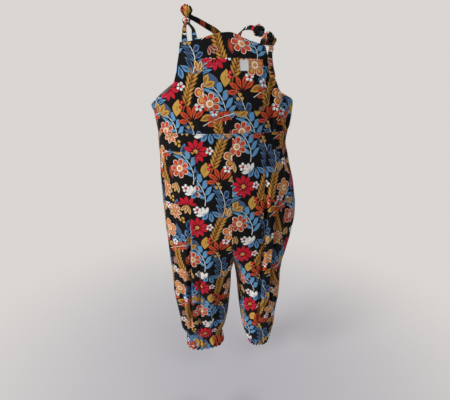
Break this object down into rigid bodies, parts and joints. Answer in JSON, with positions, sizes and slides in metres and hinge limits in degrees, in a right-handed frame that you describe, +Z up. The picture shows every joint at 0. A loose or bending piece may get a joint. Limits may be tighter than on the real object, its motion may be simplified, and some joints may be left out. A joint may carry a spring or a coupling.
{
  "type": "printed cotton overalls",
  "caption": "Loose sleeveless overalls with a bib front and back, tied shoulder straps, patch pockets and gathered elastic hems, held in hollow worn shape.",
  "frame": {"origin": "on the wearer's shoulders, under the tied straps, in the middle of the neck opening", "axes": "+Z up, front of the garment on -Y, +X to the right as seen from the front"},
  "size_m": [0.5293, 0.318, 1.3133],
  "materials": {
    "printed_twill": "matt cotton twill, black ground with an all-over flower, leaf and wheat print, paler on the reverse",
    "label_tape": "plain woven label, blank"
  },
  "bodies": {
    "root": {"bib_front": "printed_twill", "bib_back": "printed_twill", "leg_front_left": "printed_twill", "leg_front_right": "printed_twill", "leg_back_left": "printed_twill", "leg_back_right": "printed_twill", "chest_pocket": "printed_twill", "hip_pocket_left": "printed_twill", "hip_pocket_right": "printed_twill", "strap_front_left": "printed_twill", "strap_back_left": "printed_twill", "strap_front_right": "printed_twill", "strap_back_right": "printed_twill", "tail_left": "printed_twill", "tail_right": "printed_twill", "knot_left": "printed_twill", "loop_left": "printed_twill", "knot_right": "printed_twill", "loop_right": "printed_twill", "label": "label_tape"}
  },
  "joints": []
}
